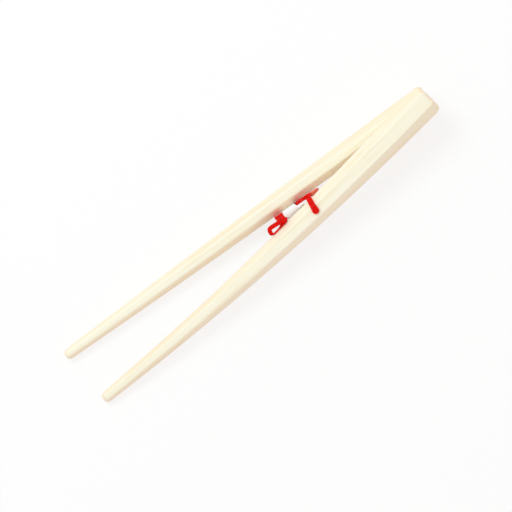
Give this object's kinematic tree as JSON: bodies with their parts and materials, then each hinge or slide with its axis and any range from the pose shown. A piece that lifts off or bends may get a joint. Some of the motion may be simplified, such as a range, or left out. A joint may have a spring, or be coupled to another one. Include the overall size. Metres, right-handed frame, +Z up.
{
  "type": "pair of wooden chopsticks",
  "caption": "Two tapered eight-sided wooden chopsticks crossed at their handles, with a rolled paper wedge in the fork and a rubber band wound round it.",
  "frame": {"origin": "centre of the object's box in plan, on the surface that it lies on", "axes": "+X from the tips to the handles along the middle of the fork, +Z up"},
  "size_m": [0.1802, 0.0282, 0.023],
  "materials": {
    "bare_wood": "pale bare wood, smoothly sanded",
    "white_paper": "thin uncoated wrapper paper",
    "red_rubber": "satin natural rubber"
  },
  "bodies": {
    "root": {"lower_chopstick": "bare_wood", "upper_chopstick": "bare_wood", "paper_wedge": "white_paper", "rubber_band": "red_rubber"}
  },
  "joints": []
}
